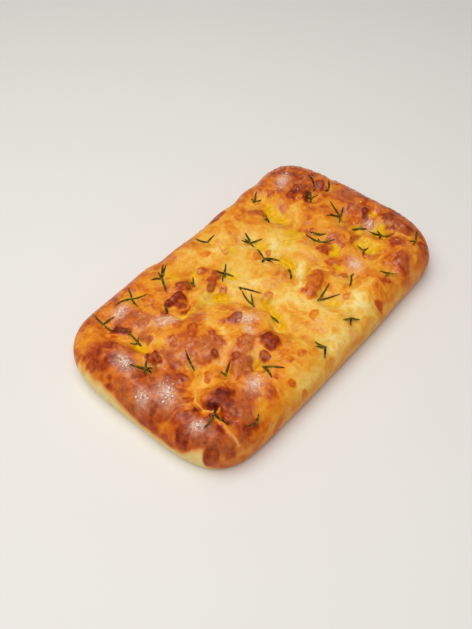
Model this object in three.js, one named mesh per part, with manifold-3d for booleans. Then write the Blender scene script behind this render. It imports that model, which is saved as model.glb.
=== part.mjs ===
// A slab of focaccia, baked in a tray: one loaf with a dimpled, blistered crust, and on it
// loose sprigs of rosemary and clumps of flaky salt. Millimetres, +Z up. The origin is the
// middle of the flat underside; +X runs along the loaf and +Y across it.
import * as THREE from "three";
import { mergeVertices } from "three/addons/utils/BufferGeometryUtils.js";
import Module from "manifold-3d";

const wasm = await Module();
wasm.setup();

// ---- driving dimensions ----
const HALF_LENGTH = 150;
const HALF_WIDTH = 89;
const SLAB_HEIGHT = 32.5; // the crust between its swellings and dimples
const WIDEST_HEIGHT = 14; // where the side stands out furthest
const SHOULDER = 21; // how far in from the side the crust starts to roll over
const FOOT = 5; // how far the side tucks in under itself
const REST_GAP = 0.35; // clearance of a topping above the crust

// ---- the loaf ----
// The plan outline, anticlockwise from the middle of the +X end, about 24 mm apart.
const OUTLINE = [
  [150, 0], [150, 24], [148.5, 47], [145, 68.5], [132.5, 84], [113, 89], [94, 87], [77, 88.5],
  [60, 85.5], [43, 87.5], [22, 85.5], [4, 85.5], [-15, 86.5], [-33, 86], [-48, 89], [-74, 88],
  [-98, 87.5], [-119.5, 86], [-135.5, 77], [-145.5, 62], [-149.5, 42], [-150, 18], [-149.5, -6],
  [-149, -30], [-146, -53], [-138, -71], [-122, -82], [-100, -85.5], [-76, -86.5], [-50, -87.5],
  [-25, -88], [0, -88.5], [25, -89], [50, -89], [75, -88.5], [98, -88.5], [119, -87],
  [133.5, -78], [143.5, -64], [149, -45], [150, -22],
];

// Swellings and dimples of the crust. Each runs from one point to another in plan and fades
// out over its reach: [x, y, x, y, reach, height].
const RELIEF = [
  // the puffed border
  [-134, -50, -134, 40, 17, 3.5], [128, -50, 130, 30, 16, 2.5], [-100, 72, -60, 74, 14, 2],
  [-40, 70, 40, 70, 14, 0.8], [60, 72, 110, 72, 14, 2], [-90, -74, -30, -76, 14, 1.5],
  [40, -76, 100, -76, 14, 2],
  // pillows of trapped gas
  [-81, -16, -77, 4, 17, 4], [-109, -46, -104, -48, 13, 4.5], [-109, 12, -109, 16, 10, 3],
  [-131, -70, -127, -76, 14, 3], [-107, -64, -103, -66, 12, 2.5], [-61, -28, -59, -30, 10, 3],
  [-77, -40, -73, -40, 9, 2.5], [-44, -42, -42, -42, 9, 4], [-47, -6, -37, -8, 10, 3],
  [-65, 39, -49, 45, 8, 3.5], [-93, 48, -87, 52, 14, 2.5], [-135, 38, -135, 28, 12, 2],
  [-139, -12, -139, 8, 12, 1.5], [19, -35, 31, -30, 9, 4], [-35, 29, -22, 34, 7, 2.5],
  [2, -6, 12, -8, 16, 2.5], [42, -2, 49, -6, 14, 2], [47, 43, 47, 38, 15, 2],
  [89, 43, 93, 18, 18, 2.5], [83, -10, 89, 0, 14, 2.5], [117, 3, 121, -7, 14, 2],
  [95, -72, 87, -79, 11, 3], [123, -47, 129, -37, 11, 3], [52, -72, 59, -70, 12, 2],
  [2, -67, 32, -67, 15, 1.5], [-48, -64, -38, -68, 14, 1.5], [107, 48, 113, 58, 12, 2.5],
  [17, 53, 32, 58, 16, 1.5],
  // finger dimples, and the creases that run between them
  [-108.5, 33.5, -107.5, 23.5, 6, -7], [-117.5, 54.5, -112.5, 43.5, 4, -4],
  [-118.5, -46.5, -115.5, -52.5, 5, -6], [-112.5, -28.5, -100.5, -29.5, 7, -4],
  [-118.5, -56.5, -119.5, -74.5, 4, -3], [-69.5, 37.5, -67.5, 25.5, 5, -6],
  [-62.5, 24.5, -52.5, 30.5, 4, -3.5], [-37.5, 39.5, -32.5, 44.5, 6, -5],
  [-38.5, 19.5, -28.5, 7.5, 7, -5], [-24.5, -2.5, -20.5, -12.5, 6, -4.5],
  [-14.5, -20.5, -27.5, -38.5, 5.5, -4.5], [-27.5, -38.5, -25.5, -52.5, 5, -3],
  [-12.5, 25.5, -8.5, 19.5, 7, -4.5], [27.5, 35.5, 30.5, 25.5, 6.5, -5],
  [21.5, 13.5, 25.5, 7.5, 5.5, -4], [29.5, 1.5, 27.5, -12.5, 7, -5],
  [17.5, -17.5, 29.5, -18.5, 6, -3], [16.5, -50.5, 17.5, -56.5, 6.5, -5],
  [68.5, 44.5, 69.5, 29.5, 8, -6.5], [73.5, 65.5, 75.5, 59.5, 6, -5],
  [63.5, -24.5, 67.5, -24.5, 6, -4.5], [97.5, -25.5, 99.5, -28.5, 5, -5],
  [86.5, -34.5, 87.5, -46.5, 6.5, -6], [49.5, -40.5, 52.5, -42.5, 4.5, -3.5],
  [107.5, -40.5, 108.5, -44.5, 6, -6], [111.5, -47.5, 119.5, -62.5, 3.5, -3.5],
  [124.5, -24.5, 125.5, -28.5, 4, -4], [107.5, 33.5, 103.5, 27.5, 5.5, -5],
  [119.5, 31.5, 125.5, 23.5, 5, -3.5], [125.5, 23.5, 141.5, 33.5, 4, -3],
  [103.5, -3.5, 104.5, -5.5, 7, -4.5], [67.5, -6.5, 69.5, -10.5, 6.5, -5],
  [59.5, 41.5, 60.5, 39.5, 5, -4], [5.5, 64.5, 7.5, 61.5, 7, -4.5],
  [-49.5, 63.5, -48.5, 65.5, 6, -3], [-80.5, 66.5, -79.5, 65.5, 6, -3],
  [-112.5, 65.5, -111.5, 59.5, 5, -3.5], [-120.5, 11.5, -119.5, 8.5, 6, -4.5],
  [-96.5, -12.5, -93.5, -20.5, 5, -4.5], [-86.5, -36.5, -84.5, -34.5, 5, -4],
  [-63.5, -51.5, -66.5, -48.5, 5, -5], [-74.5, -44.5, -66.5, -48.5, 4, -3],
  [-84.5, -24.5, -78.5, -26.5, 6, -3.5], [-20.5, -72.5, -18.5, -76.5, 5.5, -3.5],
  [15.5, -75.5, 16.5, -77.5, 5.5, -3.5], [74.5, -71.5, 76.5, -74.5, 6, -4.5],
  [119.5, -68.5, 121.5, -72.5, 5.5, -4.5], [-102.5, -78.5, -98.5, -78.5, 5, -3.5],
  [45.5, -55.5, 51.5, -51.5, 5, -3],
];

const CELLS_ALONG = 50;
const CELLS_ACROSS = 30;
const PERIMETER = 2 * (CELLS_ALONG + CELLS_ACROSS);
const SHOULDER_RINGS = 5;
const FOOT_RINGS = 3;
const CORNER_POWER = 5; // of the rounded rectangle whose normals the insets follow

// How far (x, y) is from the line between two points of a relief row.
function distanceToLine(x, y, [ax, ay, bx, by]) {
  const along = (x - ax) * (bx - ax) + (y - ay) * (by - ay);
  const length2 = (bx - ax) ** 2 + (by - ay) ** 2;
  const t = THREE.MathUtils.clamp(along / length2, 0, 1);
  return Math.hypot(x - ax - t * (bx - ax), y - ay - t * (by - ay));
}

// Height of the crust over a point in plan.
function crustHeight(x, y) {
  return RELIEF.reduce(
    (z, row) => z + row[5] * Math.exp(-((distanceToLine(x, y, row) / row[4]) ** 2)),
    SLAB_HEIGHT,
  );
}

// The outline as evenly spaced points, brought to the loaf's exact length and width.
function outlinePoints() {
  const corners = OUTLINE.map(([x, y]) => new THREE.Vector3(x, y, 0));
  const curve = new THREE.CatmullRomCurve3(corners, true, "catmullrom", 0.5);
  const points = curve.getSpacedPoints(PERIMETER).slice(0, PERIMETER);
  const box = new THREE.Box3().setFromPoints(points);
  const middle = box.getCenter(new THREE.Vector3());
  const size = box.getSize(new THREE.Vector3());
  const scale = new THREE.Vector3((2 * HALF_LENGTH) / size.x, (2 * HALF_WIDTH) / size.y, 1);
  return points.map((p) => p.sub(middle).multiply(scale));
}

// Outward direction at an outline point: that of a rounded rectangle of the loaf's size.
function outward(p) {
  const slope = (v, half) => (Math.sign(v) * Math.abs(v / half) ** (CORNER_POWER - 1)) / half;
  return new THREE.Vector3(slope(p.x, HALF_LENGTH), slope(p.y, HALF_WIDTH), 0).normalize();
}

// The rings from the shoulder of the crust down to the foot: quarter ellipses above and
// below the widest height.
function sideRings(rim, normals) {
  const rings = [];
  const ring = (inset, height) =>
    rim.map((p, k) => {
      const q = p.clone().addScaledVector(normals[k], -inset);
      return q.setZ(height(q));
    });
  for (let i = 0; i <= SHOULDER_RINGS; i++) {
    const angle = (i / SHOULDER_RINGS) * (Math.PI / 2);
    const above = (q) => (crustHeight(q.x, q.y) - WIDEST_HEIGHT) * Math.cos(angle);
    rings.push(ring(SHOULDER * (1 - Math.sin(angle)), (q) => WIDEST_HEIGHT + above(q)));
  }
  for (let i = 1; i <= FOOT_RINGS; i++) {
    const angle = (i / FOOT_RINGS) * (Math.PI / 2);
    const z = WIDEST_HEIGHT * (1 - Math.sin(angle));
    rings.push(ring(FOOT * (1 - Math.cos(angle)), () => z));
  }
  return rings;
}

// Where a cell corner of the top lies: its place on the nested rectangle through it, carried
// to the same place on the shoulder ring and drawn in towards the middle.
function topPoint(shoulder, i, j) {
  const u = (2 * i) / CELLS_ALONG - 1;
  const v = (2 * j) / CELLS_ACROSS - 1;
  const r = Math.max(Math.abs(u), Math.abs(v));
  if (r === 0) return new THREE.Vector3(0, 0, crustHeight(0, 0));
  const [a, b] = [u / r, v / r];
  const [along, across] = [CELLS_ALONG / 2, CELLS_ACROSS / 2];
  let k = across * b; // cells along the perimeter from the middle of the +X end
  if (b >= 1) k = across + along * (1 - a);
  else if (a <= -1) k = across + 2 * along + across * (1 - b);
  else if (b <= -1) k = 3 * across + 2 * along + along * (1 + a);
  k = (k + PERIMETER) % PERIMETER;
  const from = shoulder[Math.floor(k) % PERIMETER];
  const to = shoulder[(Math.floor(k) + 1) % PERIMETER];
  const p = from.clone().lerp(to, k % 1).multiplyScalar(r);
  return p.setZ(crustHeight(p.x, p.y));
}

function makeLoaf() {
  const rim = outlinePoints();
  const rings = sideRings(rim, rim.map(outward));
  const positions = [];
  const triangle = (...corners) => corners.forEach((c) => positions.push(c.x, c.y, c.z));
  const quad = (a, b, c, d) => {
    triangle(a, b, c);
    triangle(a, c, d);
  };
  const top = [];
  for (let i = 0; i <= CELLS_ALONG; i++) {
    top.push([]);
    for (let j = 0; j <= CELLS_ACROSS; j++) top[i].push(topPoint(rings[0], i, j));
  }
  for (let i = 0; i < CELLS_ALONG; i++) {
    for (let j = 0; j < CELLS_ACROSS; j++) {
      quad(top[i][j], top[i + 1][j], top[i + 1][j + 1], top[i][j + 1]);
    }
  }
  for (let n = 0; n + 1 < rings.length; n++) {
    for (let k = 0; k < PERIMETER; k++) {
      const next = (k + 1) % PERIMETER;
      quad(rings[n + 1][k], rings[n + 1][next], rings[n][next], rings[n][k]);
    }
  }
  const foot = rings[rings.length - 1];
  const underside = new THREE.Vector3(0, 0, 0);
  foot.forEach((p, k) => triangle(foot[(k + 1) % PERIMETER], p, underside));
  const geometry = new THREE.BufferGeometry();
  geometry.setAttribute("position", new THREE.Float32BufferAttribute(positions, 3));
  const crust = new THREE.MeshStandardMaterial({ color: 0xcf7f2e, roughness: 0.4, metalness: 0 });
  const mesh = new THREE.Mesh(mergeVertices(geometry), crust);
  mesh.name = "loaf";
  mesh.material.side = THREE.DoubleSide;
  return mesh;
}

// ---- finding the crust under a topping ----
const loaf = makeLoaf();
loaf.updateMatrixWorld(true);
const probe = new THREE.Raycaster();

function crustFacet(x, y) {
  probe.set(new THREE.Vector3(x, y, 100), new THREE.Vector3(0, 0, -1));
  return probe.intersectObject(loaf, false)[0].point.z;
}

// The highest crust within a reach of (x, y): the middle and eight points round it.
function highestCrust(x, y, reach) {
  let z = crustFacet(x, y);
  for (let k = 0; k < 8; k++) {
    const angle = (k * Math.PI) / 4;
    z = Math.max(z, crustFacet(x + reach * Math.cos(angle), y + reach * Math.sin(angle)));
  }
  return z;
}

function toSolid(geometry) {
  const bare = geometry.clone();
  bare.deleteAttribute("normal");
  bare.deleteAttribute("uv");
  const closed = mergeVertices(bare, 1e-4);
  return new wasm.Manifold(
    new wasm.Mesh({
      numProp: 3,
      vertProperties: new Float32Array(closed.attributes.position.array),
      triVerts: new Uint32Array(closed.index.array),
    }),
  );
}

function toGeometry(solid) {
  const mesh = solid.getMesh();
  const geometry = new THREE.BufferGeometry();
  geometry.setAttribute("position", new THREE.BufferAttribute(mesh.vertProperties, 3));
  return geometry.setIndex(new THREE.BufferAttribute(mesh.triVerts, 1));
}

// ---- rosemary ----
// Each sprig is a bud with its needles: [x, y, [heading in degrees, length], ...].
const SPRIGS = [
  [-112.5, 65, [90, 11.5], [266, 13], [342, 9.5]],
  [-106, 34, [94, 17], [145, 6], [45, 3], [263, 4]],
  [-120, 11, [135, 11.5], [45, 5.5], [225, 9], [315, 5], [270, 6.5]],
  [-81.5, 65.5, [164, 14.5], [58, 11], [323, 12.5], [247, 13]],
  [-50, 63.5, [155, 9.5], [73, 7], [42, 13.5], [31, 13.5], [236, 18]],
  [5.5, 64, [133, 10.5], [0, 8.5]],
  [-70.5, 39, [51, 3], [236, 5.5]],
  [-37.5, 41, [43, 9], [83, 4]],
  [-12, 30, [27, 8], [159, 7], [209, 12.5], [295, 8.5], [234, 4.5]],
  [28.5, 36, [128, 8], [67, 9], [99, 6], [319, 10.5], [255, 5.5]],
  [21.5, 15.5, [72, 12.5], [312, 13.5], [291, 8.5], [205, 7]],
  [61.5, 43, [69, 4.5], [228, 9], [146, 3.5]],
  [71, 65.5, [38, 9.5], [328, 6.5], [130, 4], [203, 6.5]],
  [107.5, 30.5, [214, 7], [45, 6.5], [305, 6], [139, 5.5]],
  [118, 34, [54, 18.5], [201, 4.5]],
  [127, 25, [33, 9], [176, 7]],
  [103.5, -4, [75, 17], [153, 15], [139, 10], [16, 8.5], [210, 13.5]],
  [20.5, -13, [40, 8.5], [222, 6], [63, 5.5]],
  [13, -46, [6, 19], [331, 18.5]],
  [51.5, -51, [212, 15], [351, 3]],
  [15.5, -75.5, [163, 8.5], [207, 10], [290, 7.5]],
  [72.5, -73, [133, 8], [188, 10], [291, 8.5]],
  [68, -8, [118, 13], [302, 12.5], [63, 3.5]],
  [70.5, -0.5, [303, 10], [120, 4]],
  [109.5, -42.5, [128, 11.5], [77, 4.5], [199, 8], [293, 11.5]],
  [102, -25, [141, 7], [295, 7]],
  [85, -41, [345, 5.5], [75, 8], [212, 11]],
  [121, -69.5, [27, 8], [128, 8], [195, 11]],
  [-62.5, -51.5, [248, 14.5], [288, 16.5]],
  [-23, -10, [80, 17], [53, 10]],
  [-17.5, 8.5, [287, 18.5], [233, 2.5]],
  [-21.5, -30.5, [84, 4.5], [257, 4.5]],
  [-20, -76.5, [103, 9], [137, 8], [211, 13.5]],
  [-87, -36.5, [23, 10.5], [90, 4.5]],
  [-96.5, -12.5, [69, 12], [249, 4.5]],
  [-118, -53, [198, 14.5], [274, 13.5], [14, 4]],
  [-103, -78.5, [165, 8], [27, 6.5]],
];
const NEEDLE_WIDTH = 1.7;
const NEEDLE_THICKNESS = 0.9;
const NEEDLE_STATIONS = [0, 0.16, 0.42, 0.72, 1];
const BUD_RADIUS = 1.1;

// A needle: a flat diamond section along a line that lies on the crust, pointed at both ends.
function makeNeedle(bud, [heading, length]) {
  const turn = THREE.MathUtils.degToRad(heading);
  const ahead = new THREE.Vector3(Math.cos(turn), Math.sin(turn), 0);
  const side = new THREE.Vector3(-ahead.y, ahead.x, 0);
  const up = new THREE.Vector3(0, 0, 1);
  const path = NEEDLE_STATIONS.map((t) => {
    const p = bud.clone().addScaledVector(ahead, t * length);
    const lying = highestCrust(p.x, p.y, length / 8) + REST_GAP + NEEDLE_THICKNESS / 2;
    return t === 0 ? p : p.setZ(lying);
  });
  const section = path.map((p, n) => {
    const swell = Math.sin(Math.PI * (0.12 + 0.8 * NEEDLE_STATIONS[n])) ** 0.6;
    const [w, h] = [(swell * NEEDLE_WIDTH) / 2, (swell * NEEDLE_THICKNESS) / 2];
    return [
      p.clone().addScaledVector(side, -w),
      p.clone().addScaledVector(up, -h),
      p.clone().addScaledVector(side, w),
      p.clone().addScaledVector(up, h),
    ];
  });
  const last = path.length - 1;
  const positions = [];
  const triangle = (...corners) => corners.forEach((c) => positions.push(c.x, c.y, c.z));
  for (let k = 0; k < 4; k++) {
    const m = (k + 1) % 4;
    triangle(path[0], section[1][m], section[1][k]);
    for (let n = 1; n + 1 < last; n++) {
      triangle(section[n][k], section[n][m], section[n + 1][m]);
      triangle(section[n][k], section[n + 1][m], section[n + 1][k]);
    }
    triangle(path[last], section[last - 1][k], section[last - 1][m]);
  }
  const geometry = new THREE.BufferGeometry();
  geometry.setAttribute("position", new THREE.Float32BufferAttribute(positions, 3));
  return toSolid(geometry);
}

function makeSprig([x, y, ...needles], index) {
  const z = highestCrust(x, y, BUD_RADIUS) + REST_GAP + BUD_RADIUS;
  const bud = new THREE.Vector3(x, y, z);
  const knob = new THREE.IcosahedronGeometry(BUD_RADIUS, 0).translate(x, y, z);
  const solid = needles.reduce((whole, n) => whole.add(makeNeedle(bud, n)), toSolid(knob));
  const leaf = new THREE.MeshStandardMaterial({ color: 0x3f5222, roughness: 0.6, metalness: 0 });
  const mesh = new THREE.Mesh(toGeometry(solid), leaf);
  mesh.name = `rosemary_${String(index + 1).padStart(2, "0")}`;
  return mesh;
}

// ---- salt ----
// Clumps of flakes: [x, y, half length, half width, heading in degrees].
const SALT = [
  [-97, 61.5, 6, 4, 20],
  [-128, 24.5, 8, 4.5, 75],
  [-80, 30.5, 8.5, 4, 150],
  [-126.5, -16.5, 8, 5.5, 60],
  [-132, -51, 5, 3.5, 150],
  [-80, -57.5, 6, 5, 20],
  [-38.5, -16.5, 6, 3.5, 145],
  [-46, -24, 3.5, 2.5, 100],
  [63, -46.5, 6, 4.5, 50],
  [104, 60.5, 8, 4, 15],
  [109, -30.5, 5, 3, 30],
  [-140, -6, 5, 3.5, 70],
];
const FLAKE_SIZE = 3.2;
const FLAKE_HEIGHT = 1.7;
const FLAKES_PER_CLUMP = 10;
const GOLDEN_ANGLE = Math.PI * (3 - Math.sqrt(5));

// A clump: square flakes on a sunflower spiral, each turned its own way, grown together.
function makeClump([x, y, halfLength, halfWidth, heading], index) {
  const turn = THREE.MathUtils.degToRad(heading);
  let solid = null;
  for (let k = 0; k < FLAKES_PER_CLUMP; k++) {
    const reach = Math.sqrt((k + 0.3) / FLAKES_PER_CLUMP);
    const u = 0.72 * halfLength * reach * Math.cos(k * GOLDEN_ANGLE);
    const v = 0.72 * halfWidth * reach * Math.sin(k * GOLDEN_ANGLE);
    const fx = x + u * Math.cos(turn) - v * Math.sin(turn);
    const fy = y + u * Math.sin(turn) + v * Math.cos(turn);
    const z = highestCrust(fx, fy, FLAKE_SIZE * 0.7) + REST_GAP + FLAKE_HEIGHT / 2;
    const flake = new THREE.BoxGeometry(FLAKE_SIZE, FLAKE_SIZE * 0.8, FLAKE_HEIGHT);
    flake.rotateX(0.2 * Math.cos(k)).rotateY(0.2 * Math.sin(k)).rotateZ(k * 0.9);
    flake.translate(fx, fy, z + 0.4);
    solid = solid ? solid.add(toSolid(flake)) : toSolid(flake);
  }
  const white = new THREE.MeshStandardMaterial({ color: 0xf2efe8, roughness: 0.25, metalness: 0 });
  const mesh = new THREE.Mesh(toGeometry(solid), white);
  mesh.name = `salt_${String(index + 1).padStart(2, "0")}`;
  return mesh;
}

const focaccia = new THREE.Group();
focaccia.add(loaf, ...SPRIGS.map(makeSprig), ...SALT.map(makeClump));

export default focaccia;
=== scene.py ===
import bpy
import numpy as np
from mathutils import Matrix


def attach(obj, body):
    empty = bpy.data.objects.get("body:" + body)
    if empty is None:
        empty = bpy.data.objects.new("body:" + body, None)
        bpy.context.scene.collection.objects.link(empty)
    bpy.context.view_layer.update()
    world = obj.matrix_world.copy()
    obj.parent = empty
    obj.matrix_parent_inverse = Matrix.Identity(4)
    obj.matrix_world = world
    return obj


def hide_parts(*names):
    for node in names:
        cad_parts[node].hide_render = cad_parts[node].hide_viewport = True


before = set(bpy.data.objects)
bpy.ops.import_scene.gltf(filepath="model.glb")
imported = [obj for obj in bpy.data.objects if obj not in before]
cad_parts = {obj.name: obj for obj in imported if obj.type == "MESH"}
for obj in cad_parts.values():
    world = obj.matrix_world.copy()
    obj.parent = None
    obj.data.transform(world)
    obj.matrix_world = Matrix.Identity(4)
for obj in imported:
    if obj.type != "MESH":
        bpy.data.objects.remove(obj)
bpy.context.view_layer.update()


# ---- the loaf ----
# One slab of soft, oily dough, pressed into a tray with the fingertips and baked whole. Gas
# puffs the crust up between the dimples, and the highest blisters brown first. Dimensions are
# in millimetres, brought to metres where the mesh is made; the underside is flat.
MM = 0.001
HALF_LENGTH, HALF_WIDTH = 150.0, 89.0
SLAB_HEIGHT = 32.5
STIFF_HEIGHT, STIFF_RANGE = 36.8, 2.5
WIDEST_HEIGHT = 14.0
SHOULDER = 21.0
FOOT = 5.0
CORNER_POWER = 5

# The plan outline, anticlockwise from the middle of the +X end.
OUTLINE = np.array([
    (150, 0), (150, 24), (148.5, 47), (145, 68.5), (132.5, 84), (113, 89), (94, 87), (77, 88.5),
    (60, 85.5), (43, 87.5), (22, 85.5), (4, 85.5), (-15, 86.5), (-33, 86), (-48, 89), (-74, 88),
    (-98, 87.5), (-119.5, 86), (-135.5, 77), (-145.5, 62), (-149.5, 42), (-150, 18),
    (-149.5, -6), (-149, -30), (-146, -53), (-138, -71), (-122, -82), (-100, -85.5),
    (-76, -86.5), (-50, -87.5), (-25, -88), (0, -88.5), (25, -89), (50, -89), (75, -88.5),
    (98, -88.5), (119, -87), (133.5, -78), (143.5, -64), (149, -45), (150, -22),
])
# Swellings and finger dimples, each along a short line: x, y, x, y, reach, height.
RELIEF = np.array([
    (-134, -50, -134, 40, 17, 3.5), (128, -50, 130, 30, 16, 2.5), (-100, 72, -60, 74, 14, 2),
    (-40, 70, 40, 70, 14, .8), (60, 72, 110, 72, 14, 2), (-90, -74, -30, -76, 14, 1.5),
    (40, -76, 100, -76, 14, 2), (-81, -16, -77, 4, 17, 4), (-109, -46, -104, -48, 13, 4.5),
    (-109, 12, -109, 16, 10, 3), (-131, -70, -127, -76, 14, 3), (-107, -64, -103, -66, 12, 2.5),
    (-61, -28, -59, -30, 10, 3), (-77, -40, -73, -40, 9, 2.5), (-44, -42, -42, -42, 9, 4),
    (-47, -6, -37, -8, 10, 3), (-65, 39, -49, 45, 8, 3.5), (-93, 48, -87, 52, 14, 2.5),
    (-135, 38, -135, 28, 12, 2), (-139, -12, -139, 8, 12, 1.5), (19, -35, 31, -30, 9, 4),
    (-35, 29, -22, 34, 7, 2.5), (2, -6, 12, -8, 16, 2.5), (42, -2, 49, -6, 14, 2),
    (47, 43, 47, 38, 15, 2), (89, 43, 93, 18, 18, 2.5), (83, -10, 89, 0, 14, 2.5),
    (117, 3, 121, -7, 14, 2), (95, -72, 87, -79, 11, 3), (123, -47, 129, -37, 11, 3),
    (52, -72, 59, -70, 12, 2), (2, -67, 32, -67, 15, 1.5), (-48, -64, -38, -68, 14, 1.5),
    (107, 48, 113, 58, 12, 2.5), (17, 53, 32, 58, 16, 1.5), (-108.5, 33.5, -107.5, 23.5, 6, -7),
    (-117.5, 54.5, -112.5, 43.5, 4, -4), (-118.5, -46.5, -115.5, -52.5, 5, -6),
    (-112.5, -28.5, -100.5, -29.5, 7, -4), (-118.5, -56.5, -119.5, -74.5, 4, -3),
    (-69.5, 37.5, -67.5, 25.5, 5, -6), (-62.5, 24.5, -52.5, 30.5, 4, -3.5),
    (-37.5, 39.5, -32.5, 44.5, 6, -5), (-38.5, 19.5, -28.5, 7.5, 7, -5),
    (-24.5, -2.5, -20.5, -12.5, 6, -4.5), (-14.5, -20.5, -27.5, -38.5, 5.5, -4.5),
    (-27.5, -38.5, -25.5, -52.5, 5, -3), (-12.5, 25.5, -8.5, 19.5, 7, -4.5),
    (27.5, 35.5, 30.5, 25.5, 6.5, -5), (21.5, 13.5, 25.5, 7.5, 5.5, -4),
    (29.5, 1.5, 27.5, -12.5, 7, -5), (17.5, -17.5, 29.5, -18.5, 6, -3),
    (16.5, -50.5, 17.5, -56.5, 6.5, -5), (68.5, 44.5, 69.5, 29.5, 8, -6.5),
    (73.5, 65.5, 75.5, 59.5, 6, -5), (63.5, -24.5, 67.5, -24.5, 6, -4.5),
    (97.5, -25.5, 99.5, -28.5, 5, -5), (86.5, -34.5, 87.5, -46.5, 6.5, -6),
    (49.5, -40.5, 52.5, -42.5, 4.5, -3.5), (107.5, -40.5, 108.5, -44.5, 6, -6),
    (111.5, -47.5, 119.5, -62.5, 3.5, -3.5), (124.5, -24.5, 125.5, -28.5, 4, -4),
    (107.5, 33.5, 103.5, 27.5, 5.5, -5), (119.5, 31.5, 125.5, 23.5, 5, -3.5),
    (125.5, 23.5, 141.5, 33.5, 4, -3), (103.5, -3.5, 104.5, -5.5, 7, -4.5),
    (67.5, -6.5, 69.5, -10.5, 6.5, -5), (59.5, 41.5, 60.5, 39.5, 5, -4),
    (5.5, 64.5, 7.5, 61.5, 7, -4.5), (-49.5, 63.5, -48.5, 65.5, 6, -3),
    (-80.5, 66.5, -79.5, 65.5, 6, -3), (-112.5, 65.5, -111.5, 59.5, 5, -3.5),
    (-120.5, 11.5, -119.5, 8.5, 6, -4.5), (-96.5, -12.5, -93.5, -20.5, 5, -4.5),
    (-86.5, -36.5, -84.5, -34.5, 5, -4), (-63.5, -51.5, -66.5, -48.5, 5, -5),
    (-74.5, -44.5, -66.5, -48.5, 4, -3), (-84.5, -24.5, -78.5, -26.5, 6, -3.5),
    (-20.5, -72.5, -18.5, -76.5, 5.5, -3.5), (15.5, -75.5, 16.5, -77.5, 5.5, -3.5),
    (74.5, -71.5, 76.5, -74.5, 6, -4.5), (119.5, -68.5, 121.5, -72.5, 5.5, -4.5),
    (-102.5, -78.5, -98.5, -78.5, 5, -3.5), (45.5, -55.5, 51.5, -51.5, 5, -3),
])
# Folds in the skin, a pinched groove between two soft lips, or a thin ridge where the depth is
# negative: half width, depth, and the corners of the fold.
FOLDS = [
    (1, -1.2, [(-116.5, 55), (-113, 48), (-109, 42)]),
    (1.2, -1.7, [(-110, -28), (-119.5, -37.5), (-120, -43.5), (-118.5, -50.5), (-113.5, -53.5)]),
    (1, -1.1, [(-71.5, 40.5), (-67, 35.5), (-65, 29.5), (-59.5, 26.5), (-53, 29), (-49, 33)]),
    (1.2, -1.2, [(-118.5, -54.5), (-119.5, -64.5), (-121, -78)]),
    (1.2, 1.8, [(-91, -44), (-87, -47), (-79, -48.5), (-63.5, -48.5)]),
    (1.4, 1.2, [(-97.5, 31), (-87, 32.5), (-78.5, 30), (-73, 25)]),
    (1.5, 1.3, [(-103.5, 20.5), (-114.5, 12), (-116, 8)]),
    (1.5, 1.4, [(-118, -17), (-112.5, -23.5), (-103, -22), (-96.5, -15.5)]),
    (1.3, 1.2, [(-147, -28.5), (-139.5, -31.5), (-130, -32), (-125.5, -37.5)]),
    (1.4, 1.3, [(-111.5, -57.5), (-113.5, -65.5), (-107.5, -73), (-99, -73.5)]),
    (1.3, 1.2, [(-67.5, -5.5), (-61, -13), (-53.5, -17)]),
    (2, -1.6, [(12, -28), (22.5, -21), (33.5, -12.5)]),
    (1.2, 1.3, [(34.5, -24.5), (43, -33.5), (48, -37.5)]),
    (1.3, -1.3, [(52, -51), (61, -54), (69, -56.5), (85, -59.5)]),
    (1.2, -1.3, [(113, -45), (115.5, -54), (121, -64.5)]),
    (1.2, 1.4, [(111.5, -48.5), (110.5, -57.5), (118.5, -65)]),
    (1.2, 1.5, [(94, 33.5), (105, 31), (112, 28.5), (123.5, 28)]),
    (1.3, 1.4, [(123.5, 28), (128.5, 30), (137, 35.5)]),
    (1.3, 1.4, [(93.5, 41.5), (101.5, 38.5), (110.5, 39.5)]),
    (1.2, 1.2, [(67.5, .5), (72, -4), (78, -9)]),
    (2.2, -1, [(76, 32), (83.5, 33.5), (94, 31)]),
    (1.6, -1, [(67.5, 18.5), (76.5, 24), (82, 28.5)]),
    (1.2, -.5, [(114.5, 63.5), (121.5, 68.5), (127, 71.5)]),
    (1.3, 1.3, [(105, -20.5), (109.5, -16), (110.5, -9)]),
    (1.2, 1.6, [(104.5, -33), (110.5, -35), (114.5, -32), (116, -26)]),
    (1.6, 1.2, [(7.5, 61.5), (8.5, 52.5), (6, 46)]),
    (1.4, 1.2, [(-49, 54), (-41, 51), (-31.5, 48.5), (-26.5, 48.5)]),
    (1.8, 1.3, [(-41.5, 21.5), (-31.5, 14), (-26, 6.5)]),
    (1.6, 1.4, [(-19, -7), (-15, -18.5), (-22, -29.5), (-25.5, -43.5)]),
    (1.5, 1.1, [(45, 17.5), (50.5, 11), (59, 7.5)]),
    (1.6, 1.3, [(31.5, 4.5), (30, -6.5), (21.5, -15)]),
    (1.3, 1.1, [(84, -67.5), (91, -68), (100.5, -65.5)]),
    (1.3, 1.2, [(97, -85), (100, -79.5), (109, -75)]),
    (1.3, 1.2, [(122, -52), (122, -59), (119, -62)]),
    (1.3, 1.2, [(55.5, -30.5), (62, -33), (70, -31), (76.5, -33)]),
    (1.3, 1, [(-53.5, -58), (-47.5, -61), (-41.5, -59)]),
    (1.3, 1.2, [(-61, 48.5), (-56.5, 43), (-48.5, 40.5)]),
    (1.3, 1.3, [(58, 58.5), (65.5, 54.5), (74.5, 53.5)]),
]
CREASES = np.array([
    (*start, *end, half_width, depth)
    for half_width, depth, run in FOLDS
    for start, end in zip(run, run[1:])
])
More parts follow.
